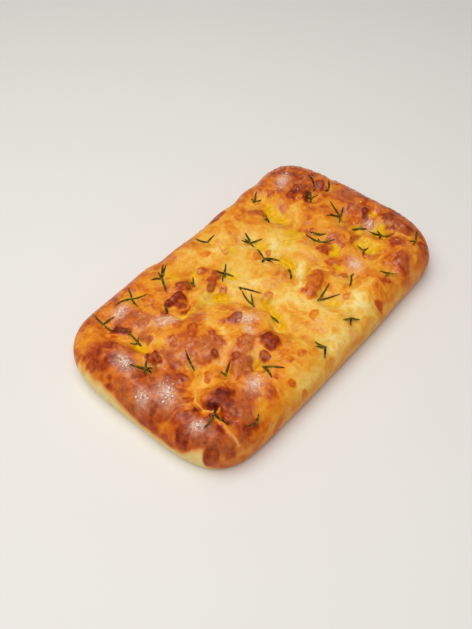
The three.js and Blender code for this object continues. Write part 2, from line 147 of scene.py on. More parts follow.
# Blisters with a browned cap: x, y, x, y, radius, height, browning of the cap.
BLISTERS = np.array([
    (-108.5, -51.5, -106, -50, 9.2, 4.2, .9), (-116.5, -52, -115, -48, 5.4, 3.6, .9),
    (-111.5, -46.5, -108, -45.5, 12, 2.6, .5), (-110, 14, -111.5, 7.5, 3.6, 1.2, .86),
    (-133.5, 33.5, -132.5, 33, 4.5, 1.2, .84), (-144.5, 44, -141.5, 42.5, 4, .6, .74),
    (-111.5, 52.5, -106, 44, 3.8, 1.2, .88), (-102, 34.5, -101, 33, 3, .6, .7),
    (-100.5, 28.5, -100, 27.5, 3, .6, .7), (-66.5, 39.5, -55.5, 36, 3.6, 1.8, .86),
    (-63, 30, -59.5, 29, 3.8, 1.6, .82), (-81, -19, -80, -18, 3.2, 1, .84),
    (-67.5, -6.5, -68.5, -14.5, 2.8, .9, .74), (-84.5, -12.5, -82, -11, 12, 1.2, .6),
    (-141, -16, -139.5, -15.5, 4, .7, .82), (-73.5, -34.5, -72.5, -34, 3.4, .8, .78),
    (-56, -48.5, -55.5, -47.5, 4.2, 1.2, .8), (-66.5, -65.5, -65.5, -65.5, 2.4, .6, .66),
    (-107, -65, -105.5, -71, 7.5, 1.2, .7), (-76.5, -68, -76, -72, 3.4, .7, .64),
    (-116, -62, -112, -66.5, 3.6, .9, .84), (-107.5, -74, -104, -75.5, 4.2, .9, .8),
    (-142.5, -47, -139, -45, 5.4, 1.4, .84), (-61.5, -78, -60, -78, 3, .6, .62),
    (-57.5, -88.5, -56.5, -88.5, 3.4, .6, .62), (-111, -13, -109, -15.5, 4, .8, .76),
    (-125.5, -73.5, -122, -73.5, 4, .6, .66), (-92.5, -62.5, -89, -64, 3.5, .5, .7),
    (-122, -30.5, -119, -32, 3.5, .5, .7), (-138.5, -68, -137.5, -70, 3.6, .7, .82),
    (-131.5, -77.5, -128, -79, 3.4, .7, .78), (-97.5, -4, -96, -2.5, 3, .3, .6),
    (-76, 4, -72.5, 9, 4.5, .5, .66), (-92, 11, -90.5, 12.5, 4, .5, .66),
    (-95, 41.5, -92.5, 40, 4, .5, .66), (-98.5, -29, -95, -27, 4, .5, .62),
    (-86.5, -65, -84.5, -62, 3, .4, .62), (-48.5, 42.5, -42.5, 42, 6, 1.4, .76),
    (-24.5, 42.5, -23, 42, 4.6, 1.2, .7), (-34.5, 26, -19, 32.5, 3.6, 1.2, .74),
    (-28, 18.5, -27, 17.5, 3.4, .9, .68), (4, 43.5, 6, 43, 3, .5, .5),
    (16.5, 20, 19, 20, 4, .4, .5), (28.5, 15.5, 29.5, 16, 3.2, .7, .54),
    (27.5, 76.5, 41.5, 79, 3.5, .5, .8), (-48, -8.5, -42, -10.5, 4, .8, .8),
    (-14.5, -13, -9, -14, 3, .5, .62), (-46, -44.5, -44.5, -43, 7.4, 3, .84),
    (-11, 54.5, -6.5, 53, 3, .3, .46), (13.5, -36.5, 30, -33, 6.6, 1.6, .62),
    (52, -31, 54, -32, 5.5, .5, .6), (47.5, -47.5, 48.5, -46, 3.6, .6, .64),
    (42.5, -84, 44, -83.5, 4, .5, .7), (-59, -32.5, -55, -30, 7.2, .8, .62),
    (-38.5, -67, -36, -68.5, 2.8, .3, .56), (-49.5, -65, -47.5, -66, 2.6, .3, .54),
    (-2.5, -53, 1, -52.5, 2.6, .3, .46), (57.5, 53, 61.5, 50.5, 5.2, .9, .68),
    (92.5, 43, 105, 45, 4.2, 1.2, .82), (99, 31.5, 108.5, 36.5, 4.2, 1.2, .88),
    (111.5, 68.5, 112.5, 68.5, 3.4, .7, .78), (58.5, -16.5, 65.5, -16.5, 5.2, .8, .7),
    (114, -23, 119.5, -18.5, 3.4, 1, .9), (110, -29, 111, -28, 3.6, .9, .74),
    (103.5, -58.5, 108.5, -57.5, 5, .9, .74), (122, -40, 123, -39, 5.2, .9, .82),
    (86, -79, 92.5, -73, 5.6, 1, .74), (118.5, -79, 121.5, -76.5, 4.5, .7, .74),
    (124.5, 33.5, 124, 28, 4.5, .7, .8), (73.5, -11, 74.5, -12.5, 3, .5, .64),
    (85, -28, 92.5, -28.5, 2.8, .5, .7), (113, -49, 115.5, -46.5, 3.5, .6, .8),
    (61.5, -74.5, 64.5, -78, 3, .4, .7), (117.5, 51, 119, 53.5, 4.5, .5, .72),
    (125.5, 4, 127, 7, 5.5, .5, .68), (115, -9, 117, -7.5, 4.5, .5, .68),
    (83, 59.5, 85.5, 60.5, 4, .5, .62), (-77, -40, -72, -42, 8, 1, .62),
    (60, -63, 61.5, -64, 3, .3, .5), (29, -60.5, 30.5, -60, 2.6, .3, .48),
    (26, 37, 28.5, 37.5, 3.5, .5, .52), (42, 59.5, 44, 59, 4, .4, .5),
])
# Where the oven browned the crust more: x, y, x, y, reach, amount.
BROWN = np.array([
    (100, -48, 118, -51, 14, .12), (-4.5, -9, 15.5, -9, 16, .12),
    (-47, -5.5, -33.5, -15, 10, .06), (-52, 54.5, -34, 54.5, 12, .08),
    (-131, -12, -130.5, -41.5, 12, .1), (-141, -52.5, -140.5, 47, 30, .22),
    (-114.5, -62, -116, 28.5, 34, .14), (-84, -21, -78.5, 3.5, 20, .12),
    (-115, -51, -102.5, -46.5, 20, .16), (-139.5, -66, -124, -81.5, 15, .2),
    (-104.5, -65, -94, -67.5, 14, .1), (-76.5, -39.5, -73.5, -38.5, 9, .1),
    (-135, 32, -122.5, 12, 16, .08), (-110, 48.5, -99, 56, 16, .06),
    (135.5, -52.5, 134.5, 58.5, 22, .22), (116.5, -72.5, 125.5, -61.5, 18, .12),
    (96.5, 76, 127, 72.5, 16, .14), (118, 47, 117.5, 64, 16, .12),
    (105.5, 37, 115.5, 49, 14, .12), (122.5, 3, 122.5, -22, 16, .1),
    (101, -12, 110, -22.5, 14, .08), (94.5, -72.5, 87.5, -78, 14, .1),
    (62, 49.5, 71, 47, 12, .1), (57.5, -16, 63.5, -17.5, 14, .08),
    (23.5, -33.5, 28.5, -32, 12, .08), (-102, 82, 79, 81.5, 9, .14),
    (-69.5, 38, -48, 43, 14, .1), (-57.5, -31, -52.5, -28, 12, .08),
    (-42.5, -44, -40.5, -43, 14, .1), (67.5, 7.5, 81.5, 18, 16, .08),
    (82.5, -8.5, 92.5, -7, 16, .08), (58.5, 16.5, 60, 19.5, 10, .05), (38, 58, 58, 64, 14, .06),
    (-22, 68.5, 17.5, 73, 14, .05),
])
# Where it stayed pale, in folds and between blisters: x, y, x, y, reach, amount.
PALE = np.array([
    (-21.5, 58, 17, 29, 18, .07), (-4, -2.5, 7, -14, 16, .08), (42, 9, 47, -7, 14, .1),
    (37.5, 42, 43.5, 30.5, 14, .09), (-18, -62, 6, -67, 20, .08), (-19.5, 3, -9, 20.5, 12, .08),
    (6, -65, 35.5, -73, 14, .08), (-58, -65, -46, -85.5, 12, .1),
    (-117.5, -32.5, -106, -34, 3.5, .2), (-60, 3, -59, -9.5, 4, .2),
    (-59, -11, -65, -22, 3.5, .18), (-67.5, -24.5, -78, -26.5, 4, .16),
    (-98.5, -2.5, -97, -11.5, 3, .12), (-97, 18, -84, 23, 5, .16),
    (-90.5, 12.5, -98.5, 8.5, 3, .1), (-116, 44.5, -112, 38.5, 3, .16),
    (-116.5, 22, -112.5, 19.5, 4, .12), (-126, -35.5, -119.5, -30.5, 4, .14),
    (-91, -79, -85, -82, 5, .1), (-9, -22, 1, -44.5, 11, .13), (-22, -76, -7.5, -83, 8, .08),
    (33.5, -72.5, 49, -68, 8, .06), (-3.5, 2, 8, 13, 8, .06), (-108, -26, -100, -29, 6, .3),
    (-43, 24, -38, 25, 7, .2), (37.5, 21, 35.5, 15, 6, .22), (82.5, 31.5, 78, 32, 5, .2),
    (70.5, 20, 80.5, 27, 4, .16), (14, -28.5, 33, -13, 4, .3), (26, -70.5, 31.5, -69.5, 9, .18),
    (-50, -76.5, -43.5, -83.5, 9, .18), (-63, -85.5, -57.5, -88.5, 8, .16),
    (-148.5, 51.5, -146.5, 47, 5, .25), (34, -25.5, 43, -33.5, 1.6, .12),
    (-86.5, -22, -83.5, -25, 5, .22), (-58, -42, -61.5, -37, 5, .16),
    (-25.5, -32.5, -30.5, -42, 4, .14), (-7, -25, 5.5, -40, 12, .08),
    (48, 27.5, 54.5, 21, 8, .12), (1.5, 48.5, 11.5, 53.5, 6, .14), (16, 4, 31.5, 13.5, 8, .08),
    (-21.5, 12.5, -9.5, 1, 9, .08), (43, 5, 48, -12, 8, .12), (-11.5, -74.5, 1.5, -80.5, 8, .1),
    (57, -67, 62.5, -64, 5, .08), (81, 1, 86, 6, 6, .12), (101, 19.5, 108.5, 11.5, 6, .12),
    (118.5, 65, 126, 71, 2, .14), (-102.5, 23.5, -96.5, 16.5, 5, .14),
    (-123, -34.5, -119.5, -37.5, 3, .18), (-71.5, -49.5, -68, -44, 4, .12),
    (109, -38, 112, -37, 4, .16), (-97.5, -34, -92, -42, 4, .14), (57.5, 66.5, 67.5, 63, 5, .1),
])
# Olive oil lying in the dimples and creases: x, y, x, y, reach, amount.
OIL = np.array([
    (73, 51, 71, 44.5, 3.5, .6), (71, 44.5, 69.5, 34.5, 5.5, .95),
    (66, -25.5, 69, -23.5, 5, .95), (100.5, -23.5, 101.5, -25, 3.5, .7),
    (121.5, -27.5, 123, -26, 4, .9), (92, -35, 90, -35.5, 5, 1), (90, -44.5, 91, -47.5, 5, .95),
    (108.5, -41.5, 112, -44.5, 4.5, .7), (-109, 30, -108.5, 27.5, 5, .9),
    (-33.5, 15.5, -30.5, 12, 5.5, .85), (-33.5, 45, -29, 47, 3.5, .6),
    (30.5, 29.5, 33.5, 23.5, 5, .75), (58.5, 13, 61, 7.5, 7, .5),
    (51.5, -38.5, 52.5, -40, 3.5, .8), (18.5, -53.5, 19, -58, 5, .6),
    (-21.5, -31.5, -24.5, -39.5, 4.5, .7), (-16, -15.5, -16.5, -24.5, 4.5, .7),
    (31, 3.5, 29, -9, 5, .7), (-66.5, 26.5, -65, 25, 3.5, .7), (-12, 26, -9.5, 21.5, 5, .6),
    (8, 39, 8.5, 41.5, 4, .6), (-84.5, 67, -77.5, 63.5, 7, .4), (-59, 24, -54, 22.5, 4, .5),
    (-63.5, -47, -62, -44.5, 5, .5), (-93.5, -35, -90, -42, 5, .1), (43.5, 11, 45, 9.5, 6, .5),
    (105, 26, 105.5, 30, 4, .5), (9, 67.5, 7.5, 64.5, 4, .5), (-47, 60.5, -45, 55, 8, .4),
    (115.5, -43.5, 112, -40, 4, .4), (79, 60, 76.5, 59.5, 5, .4),
    (-88.5, -25, -85, -25.5, 5, .1), (73, -73.5, 75, -77, 4, .4), (-20.5, -72, -17, -75, 4, .4),
    (15, -75.5, 18, -77, 4, .4), (-100.5, -23.5, -94, -20, 5, .15),
])
# Where the oil is green from the rosemary that fried in it: x, y, x, y, reach, amount.
GREEN = np.array([
    (-108, 30, -108.5, 27.5, 6, .8), (-67, 28, -63, 25.5, 5, .9), (-63.5, 20, -52.5, 21, 5, .5),
    (-39, 40, -28, 46, 4, .9), (-12.5, 27.5, -8.5, 21.5, 7, .7), (-39.5, 18.5, -25, 8.5, 7, .6),
    (7.5, 40, 9.5, 36.5, 5, .7), (28.5, 37.5, 29, 28, 6, .8), (34, 13, 39, 11, 6, .6),
    (-18.5, -6.5, -14, -17.5, 5, .8), (-15, -17.5, -25.5, -44, 5, .7),
    (31.5, 3, 30.5, -11, 6, .8), (21, -14.5, 27, -16.5, 5, .5), (18, -49.5, 19, -58, 6, .7),
    (69, 38, 68, 29.5, 7, .6), (60.5, 43.5, 56.5, 44.5, 4, .6), (106, -37, 112, -44.5, 6, .9),
    (97.5, -20.5, 104.5, -29.5, 4, .5), (88.5, -34, 91, -47.5, 6, .4), (66, -2.5, 70, -7, 4, .8),
    (105, 28.5, 110, 33, 4, .7), (127, 23.5, 130, 28, 4, .6), (100.5, -5, 91.5, -11.5, 5, .6),
    (-62, -49, -61, -53, 5, .6), (-119, 12.5, -117, 7.5, 5, .6), (-96.5, -14, -98.5, -19, 4, .4),
    (-87.5, -35.5, -86, -40.5, 4, .4), (-51, 62.5, -45.5, 66, 6, .4),
    (-84.5, 65.5, -81.5, 61.5, 6, .3), (15, -75.5, 17, -71.5, 6, .5),
    (-22, -69, -18, -75.5, 5, .5), (122, -69.5, 124.5, -66.5, 4, .5),
    (74.5, -71.5, 74, -76.5, 4, .5), (49.5, -49.5, 53, -51, 5, .5), (-4, 32.5, .5, 27, 8, .4),
    (-46.5, 24.5, -38.5, 20, 8, .5), (42.5, 25.5, 48.5, 20, 8, .3), (9.5, 66, 7.5, 62, 6, .5),
    (-31.5, -61, -25.5, -51, 7, .3), (35.5, -18, 19, -25, 6, .5), (61, 31.5, 54.5, 14.5, 8, .4),
    (-61, -43, -55, -45, 5, .5), (4, 15.5, 10, 8.5, 8, .3),
])
# Painted sheen, a pale reflection of the lamp on the gas pillows: x, y, x, y, reach, amount.
SHEEN_PATCHES = np.array([
    (-140.5, -4, -139, -10.5, 8, .6), (-139, -20, -132.5, -30.5, 6, .5),
    (-87.5, -9, -77, -16, 11, 1), (-76, -40, -73, -42, 7, .8), (-104.5, -63, -102.5, -69, 8, .9),
    (-136.5, -58, -128.5, -79, 7, .75), (-106, 9.5, -100, 4.5, 6, .7),
    (-144, 18, -142.5, 4.5, 6, .4), (-103.5, 34, -99, 27, 5, .7), (-96, 41.5, -90.5, 40, 8, .6),
    (-46, -25, -50, -33, 9, .5), (-46.5, -10, -41, -11, 6, .4), (121.5, 9, 131.5, -.5, 8, .7),
    (112, -6.5, 117.5, -10, 9, .5), (121, -42.5, 120, -53, 8, .6),
    (110.5, -29, 111.5, -33, 6, .7), (88, -78, 93, -74, 7, .5),
    (-120.5, -73, -118, -79.5, 6, .5), (-89, -59.5, -86, -66.5, 7, .5),
    (-98, -4, -94.5, -9, 6, .6), (100.5, 56, 106, 63.5, 9, .5), (113, 42, 122, 48, 7, .4),
    (57.5, 53, 62, 49, 5, .5), (-64, -33.5, -58, -36, 8, .5), (-12, -59.5, 2, -58, 9, .3),
    (16.5, -35.5, 18.5, -35.5, 5, .3), (-131, 41, -127, 37, 6, .4),
    (76, -13.5, 85.5, -17.5, 9, .3), (-113, -43.5, -106.5, -40, 5, .3),
    (-130, -.5, -125, -8.5, 7, .3),
])
# Where the salt landed thick: x, y, half length, half width, heading in degrees.
SALT = [
    (-97, 61.5, 6, 4, 20), (-128, 24.5, 8, 4.5, 75), (-80, 30.5, 8.5, 4, 150),
    (-126.5, -16.5, 8, 5.5, 60), (-132, -51, 5, 3.5, 150), (-80, -57.5, 6, 5, 20),
    (-38.5, -16.5, 6, 3.5, 145), (-46, -24, 3.5, 2.5, 100), (63, -46.5, 6, 4.5, 50),
    (104, 60.5, 8, 4, 15), (109, -30.5, 5, 3, 30), (-140, -6, 5, 3.5, 70),
]


def smooth(low, high, value):
    """0 below low, 1 above high, and a smooth S between."""
    t = np.clip((value - low) / (high - low), 0, 1)
    return t * t * (3 - 2 * t)


def ripple(points, size, seed):
    """Smooth random values, about -1 to 1, that change over the given size. Each corner of a
    cubic lattice of that size holds a random slope, and a point blends the eight round it."""
    rng = np.random.default_rng(seed)
    slopes = rng.normal(size=(4096, 3))
    slopes /= np.linalg.norm(slopes, axis=1)[:, None]
    where = points / size
    cell = np.floor(where).astype(np.int64)
    inside = where - cell
    blend = inside**3 * (inside * (inside * 6 - 15) + 10)
    total = np.zeros(points.shape[:-1])
    for corner in np.ndindex(2, 2, 2):
        x, y, z = np.moveaxis(cell + corner, -1, 0)
        slope = slopes[(x * 73856093 ^ y * 19349663 ^ z * 83492791) % 4096]
        share = np.prod(np.where(corner, blend, 1 - blend), axis=-1)
        total += share * np.sum(slope * (inside - corner), axis=-1)
    return 1.6 * total


def to_line(x, y, row):
    """Distance of (x, y) from the line between a row's two points."""
    ax, ay, bx, by = row[:4]
    dx, dy = bx - ax, by - ay
    t = np.clip(((x - ax) * dx + (y - ay) * dy) / (dx * dx + dy * dy), 0, 1)
    return np.hypot(x - ax - t * dx, y - ay - t * dy)


def bell(x, y, rows):
    """Sum over the rows of amount times a bell curve of the distance over the reach."""
    total = np.zeros(np.shape(x))
    for row in rows:
        total += row[5] * np.exp(-((to_line(x, y, row) / row[4]) ** 2))
    return total


def plan(x, y, size, seed):
    """The same random values at places in plan, the same at every height."""
    return ripple(np.stack([x, y, np.zeros_like(x)], axis=-1), size, seed)


def wander(x, y):
    """The same places pushed about by 2 or 3 mm, so that nothing on the crust is round."""
    return (
        x + 2.0 * plan(x, y, 11, 1) + 0.8 * plan(x, y, 4, 2),
        y + 2.0 * plan(x, y, 11, 3) + 0.8 * plan(x, y, 4, 4),
    )


def blister_caps(x, y):
    """Height, cover and browning of the blisters at (x, y). Each cap is flat-topped, with a
    ragged shoulder that falls off round its radius, and darkest in a ring just inside its
    edge. Where caps overlap, one earlier in the list lies over a later one."""
    wx, wy = wander(x, y)
    ragged = 0.45 * plan(x, y, 5.5, 9) + 0.15 * plan(x, y, 2.8, 10)
    height = np.zeros(np.shape(x))
    cover = np.zeros(np.shape(x))
    brown = np.zeros(np.shape(x))
    for row in BLISTERS[::-1]:
        near = to_line(wx, wy, row) / row[4] + ragged
        height = np.maximum(height, row[5] * (1 - smooth(0.35, 1.15, near)))
        covers = 1 - smooth(0.5, 1.2, near)
        ring = row[6] + 0.1 * np.exp(-(((near - 0.75) / 0.28) ** 2)) - 0.06
        brown = covers * ring + (1 - covers) * brown
        cover = covers + (1 - covers) * cover
    return height, cover, brown / np.maximum(cover, 1e-6)


def folds(x, y):
    """Height of the folds at (x, y): a narrow bell downwards along the nearest fold, with a
    broader lip raised on either side of it, or upwards where the row is a ridge. Also how
    much of the skin there stayed pale, 0 to 1, most on a ridge."""
    wx = x + 0.8 * plan(x, y, 6, 14)
    wy = y + 0.8 * plan(x, y, 6, 15)
    nearest = np.full(np.shape(x), 9.0)
    depth = np.zeros(np.shape(x))
    for row in CREASES:
        near = to_line(wx, wy, row) / row[4]
        depth = np.where(near < nearest, row[5], depth)
        nearest = np.minimum(near, nearest)
    lips, middle = np.exp(-(((nearest - 2.0) / 0.9) ** 2)), np.exp(-(nearest**2))
    return depth * (0.45 * lips - middle), np.clip(-0.6 * depth, 0.2, 1) * middle


def skin(x, y):
    """The uneven skin of the crust, about -1 to 0.6: a constant less the size of a ripple, for
    ripples of three sizes, which leaves narrow ridges along the lines where each is zero."""
    broad = 0.55 - 1.5 * np.abs(plan(x, y, 17, 5))
    middle = 0.5 - 1.4 * np.abs(plan(x, y, 8, 6))
    small = 0.4 - 1.2 * np.abs(plan(x, y, 3.6, 7))
    return 0.45 * broad + 0.45 * middle + 0.3 * small


def pillows(x, y):
    """How far (x, y) is up the side of a small pillow of skin: 0 along the folds between the
    pillows, 1 on their tops."""
    return smooth(0.04, 0.4, np.abs(plan(x, y, 17, 5))) * smooth(0, 0.3, np.abs(plan(x, y, 8, 6)))


def bubbles(x, y):
    """Small bubbles just under the skin, 0 to 1.7, where one of two fine ripples is high."""
    fine = smooth(0.25, 0.6, plan(x, y, 4.4, 8)) + 0.7 * smooth(0.3, 0.6, plan(x, y, 2.6, 17))
    return fine * smooth(-0.35, 0.4, plan(x, y, 26, 11))


def crust(x, y):
    """Height of the crust in plan: the slab, its swellings and dimples, the folds, the
    blisters with their wrinkled caps, the small bubbles and the uneven skin, which lies
    smooth where oil covers it. Above the stiff height the dome flattens out. The fall of the
    shoulder towards the rim is not in it: loaf_surface adds that."""
    caps, cover, brown = blister_caps(x, y)
    wrinkles = 0.6 - np.abs(plan(x, y, 3.4, 12)) - np.abs(plan(x, y, 2.1, 13))
    bare = 1 - 0.7 * np.clip(bell(x, y, OIL), 0, 1)
    height = (
        SLAB_HEIGHT
        + bell(x, y, RELIEF)
        + folds(x, y)[0]
        + 0.9 * caps
        + bare * (0.8 * bubbles(x, y) + 1.4 * skin(x, y))
        + 0.8 * cover * smooth(0.5, 0.9, brown) * wrinkles
    )
    over = np.maximum(height - STIFF_HEIGHT, 0)
    return height - over + STIFF_RANGE * np.tanh(over / STIFF_RANGE)


def closed_curve(knots, count):
    """Evenly spaced points on the closed curve through the knots: between two knots, the cubic
    whose slope at each end is half the step between that knot's neighbours."""
    p0, p1, p2, p3 = (np.roll(knots, s, axis=0)[:, None] for s in (1, 0, -1, -2))
    t = np.linspace(0, 1, 60, endpoint=False)[None, :, None]
    curve = p1 + t * (p2 - p0) / 2
    curve = curve + t**2 * (p0 - 2.5 * p1 + 2 * p2 - 0.5 * p3)
    curve = (curve + t**3 * (1.5 * p1 - 0.5 * p0 - 1.5 * p2 + 0.5 * p3)).reshape(-1, 2)
    curve = np.vstack([curve, curve[:1]])
    run = np.append(0, np.cumsum(np.linalg.norm(np.diff(curve, axis=0), axis=1)))
    even = np.arange(count) * run[-1] / count
    points = np.stack([np.interp(even, run, curve[:, k]) for k in (0, 1)], axis=1)
    low, high = points.min(axis=0), points.max(axis=0)
    return (points - (low + high) / 2) * (HALF_LENGTH, HALF_WIDTH) * 2 / (high - low)


def nested_grid(ring, along, across):
    """A grid over the inside of a ring of 2 * (along + across) points. A cell corner keeps its
    place on the nested rectangle through it: it is the point at the same place on the ring,
    drawn in towards the middle. Returns the corners in plan, their numbers, and the numbers
    of those that lie on the ring."""
    u, v = np.meshgrid(np.linspace(-1, 1, along + 1), np.linspace(-1, 1, across + 1), indexing="ij")
    r = np.maximum(np.abs(u), np.abs(v))
    a, b = u / np.maximum(r, 1e-9), v / np.maximum(r, 1e-9)
    half, side, count = along / 2, across / 2, len(ring)
    k = np.where(a > 0, side * b, side + 2 * half + side * (1 - b))
    k = np.where(np.abs(b) > np.abs(a), np.where(b > 0, side + half * (1 - a), 0), k)
    k = np.where((np.abs(b) > np.abs(a)) & (b < 0), 3 * side + 2 * half + half * (1 + a), k)
    k = np.mod(k, count)
    first = np.floor(k + 1e-9).astype(int) % count
    part = np.clip(k - np.floor(k + 1e-9), 0, 1)[..., None]
    points = r[..., None] * (ring[first] * (1 - part) + ring[(first + 1) % count] * part)
    number = np.arange(u.size).reshape(u.shape)
    border = np.empty(count, int)
    edge = r > 1 - 1e-9
    border[np.round(k[edge]).astype(int) % count] = number[edge]
    return points, number, border


def grid_faces(number):
    """Quads between the neighbouring numbers of a grid."""
    corners = (number[:-1, :-1], number[1:, :-1], number[1:, 1:], number[:-1, 1:])
    return np.stack(corners, axis=-1).reshape(-1, 4)


def band_faces(lower, upper):
    """Quads between two rings of the same length, the second above or inside the first."""
    corners = (lower, np.roll(lower, -1), np.roll(upper, -1), upper)
    return np.stack(corners, axis=-1)


def make_mesh(name, points, faces, attributes=None):
    """A smooth-shaded object from points in millimetres, a list of face arrays and per-point
    values by name."""
    mesh = bpy.data.meshes.new(name)
    corners = np.concatenate([f.reshape(-1) for f in faces]).astype(np.int32)
    sizes = np.concatenate([np.full(len(f), f.shape[1]) for f in faces])
    mesh.vertices.add(len(points))
    mesh.vertices.foreach_set("co", (points * MM).astype(np.float32).ravel())
    mesh.loops.add(len(corners))
    mesh.loops.foreach_set("vertex_index", corners)
    mesh.polygons.add(len(sizes))
    mesh.polygons.foreach_set("loop_start", np.append(0, np.cumsum(sizes)[:-1]).astype(np.int32))
    mesh.update(calc_edges=True)
    mesh.validate()
    mesh.shade_smooth()
    for key, values in (attributes or {}).items():
        layer = mesh.attributes.new(key, "FLOAT", "POINT")
        layer.data.foreach_set("value", values.astype(np.float32).ravel())
    made = bpy.data.objects.new(name, mesh)
    bpy.context.scene.collection.objects.link(made)
    return made


# Cells of the top and of the underside, along and across: five fine steps to a coarse one.
TOP_CELLS = (300, 180)
BASE_CELLS = (60, 36)
FINE_STEPS = 5
BASE_INSET = 2.5
SHOULDER_RINGS, FOOT_RINGS = 22, 12


def loaf_surface():
    """The top on a nested grid, then rings down the side to the foot: quarter ellipses above
    and below the widest height. A coarser grid closes the underside, joined to the foot by a
    band of triangles."""
    count = 2 * sum(TOP_CELLS)
    rim = closed_curve(OUTLINE, count)
    slope = np.sign(rim) * np.abs(rim / (HALF_LENGTH, HALF_WIDTH)) ** (CORNER_POWER - 1)
    slope = slope / (HALF_LENGTH, HALF_WIDTH)
    slope /= np.linalg.norm(slope, axis=1)[:, None]
    shoulder = rim - SHOULDER * slope
    top, number, border = nested_grid(shoulder, *TOP_CELLS)
    x, y = top[..., 0].ravel(), top[..., 1].ravel()
    points = [np.stack([x, y, crust(x, y)], axis=1)]
    faces = [grid_faces(number)]
    above = border
    used = number.size
    turn = np.linspace(0, np.pi / 2, SHOULDER_RINGS + 1)[1:]
    for angle in turn:
        ring = rim - SHOULDER * (1 - np.sin(angle)) * slope
        over = crust(ring[:, 0], ring[:, 1]) - WIDEST_HEIGHT
        points.append(np.column_stack([ring, WIDEST_HEIGHT + over * np.cos(angle)]))
        numbers = used + np.arange(count)
        faces.append(band_faces(numbers, above))
        above, used = numbers, used + count
    turn = np.linspace(0, np.pi / 2, FOOT_RINGS + 1)[1:]
    for angle in turn:
        ring = rim - FOOT * (1 - np.cos(angle)) * slope
        points.append(np.column_stack([ring, np.full(count, WIDEST_HEIGHT * (1 - np.sin(angle)))]))
        numbers = used + np.arange(count)
        faces.append(band_faces(numbers, above))
        above, used = numbers, used + count
    foot = rim - FOOT * slope
    inner = (foot - BASE_INSET * slope)[::FINE_STEPS]
    base, number, border = nested_grid(inner, *BASE_CELLS)
    points.append(np.column_stack([base.reshape(-1, 2), np.zeros(number.size)]))
    faces.append(grid_faces(number + used)[:, ::-1])
    coarse = border + used
    following = np.roll(coarse, -1)
    fine = above.reshape(-1, FINE_STEPS)
    last = np.roll(fine[:, 0], -1)
    steps = np.column_stack([fine, last])
    for n in (0, 1, 2):
        faces.append(np.stack([coarse, steps[:, n + 1], steps[:, n]], axis=1))
    faces.append(np.stack([coarse, following, steps[:, 3]], axis=1))
    for n in (3, 4):
        faces.append(np.stack([following, steps[:, n + 1], steps[:, n]], axis=1))
    return np.vstack(points), faces


# How brown the crust is from the -X end of the loaf to the +X end.
BROWN_ALONG = (-150, -105, -75, -45, -15, 15, 45, 75, 105, 150)
BROWN_LEVEL = (0.5, 0.49, 0.45, 0.42, 0.37, 0.35, 0.37, 0.43, 0.49, 0.49)
# The same low on the -Y side, which stayed golden between its ends, and on the underside.
LONG_SIDE_ALONG = (-150, -90, -55, 60, 95, 150)
LONG_SIDE_LEVEL = (0.5, 0.44, 0.27, 0.29, 0.44, 0.5)
UNDERSIDE_LEVEL = 0.52
# Height of the pale band's upper edge along the -X end, from -Y to +Y.
BAND_ALONG = (-89, -74, -65, -62, -55, -49, -10, 12, 30, 46, 52, 57, 64, 89)
BAND_EDGE = (2, 3, 8, 24, 22, 14, 14, 19, 24, 24, 18, 24, 8, 2)


def browning(points):
    """How brown the crust is, 0 pale to 1 nearly black: the level along the loaf, the broad
    patches, blotches of four sizes, more where the crust stands up and less in its folds, and
    the blister caps over all of it."""
    x, y, z = points.T
    caps, cover, cap_brown = blister_caps(x, y)
    wx, wy = wander(x, y)
    pale = bell(wx, wy, PALE)
    calm = 1 - 0.6 * smooth(0.04, 0.14, pale)
    level = np.interp(wx, BROWN_ALONG, BROWN_LEVEL)
    level += 0.42 * bell(wx, wy, BROWN) - pale
    level += 0.018 * bell(x, y, RELIEF)
    on_top = smooth(13, 25, z)
    level += on_top * (0.06 * skin(x, y) + 0.07 * bubbles(x, y) + 0.15 * (pillows(x, y) - 0.6))
    long_side = smooth(27, 18, z) * smooth(60, 74, -y)
    level += long_side * (np.interp(x, LONG_SIDE_ALONG, LONG_SIDE_LEVEL) - level)
    level += (1 - smooth(0.3, 5, z)) * (UNDERSIDE_LEVEL - level)
    level += 0.1 * ripple(points, 24, 21)
    level += calm * 0.13 * (smooth(-0.2, 0.2, ripple(points, 11, 22)) - 0.5)
    rich = calm * (0.35 + 0.65 * smooth(0.25, 0.5, level))
    level += rich * 0.08 * (smooth(-0.2, 0.2, ripple(points, 5.2, 23)) - 0.5)
    level += rich * 0.06 * ripple(points, 2.8, 25)
    cap = np.maximum(cap_brown + 0.16 * ripple(points, 3.4, 24), level)
    level += on_top * cover * (cap - level)
    level -= on_top * folds(x, y)[1] * np.maximum(level - 0.18, 0)
    return level - pale_band(points)[1] * np.maximum(level - 0.33, 0)


def salt_and_glint_spread(x, y):
    """Fine salt that dissolved on the crust round each clump, under a painted highlight, 0 to 1."""
    total = np.zeros(np.shape(x))
    for sx, sy, half_length, half_width, heading in SALT:
        turn = np.radians(heading)
        along = ((x - sx) * np.cos(turn) + (y - sy) * np.sin(turn)) / half_length
        across = ((y - sy) * np.cos(turn) - (x - sx) * np.sin(turn)) / half_width
        total += np.exp(-0.7 * (along**2 + across**2))
    return np.clip(total, 0, 1)


def pale_band(points):
    """The part of the side wall that leaned on its neighbour in the tray and stayed the colour
    of dough, 0 to 1: low on the -X end, with an uneven upper edge that rises in two tongues.
    Also the golden fringe above it, where the crust is only half browned."""
    x, y, z = points.T
    edge = np.interp(y, BAND_ALONG, BAND_EDGE)
    edge += 2 * ripple(points * (1, 1, 0), 22, 31) + 1.5 * ripple(points * (1, 1, 0), 7, 32)
    outside = smooth(114, 130, -x + 0.12 * np.abs(y))
    low = 1 - smooth(-5, 3, z - edge)
    fringe = 1 - smooth(-1, 5, z - edge)
    return low * outside, fringe * outside


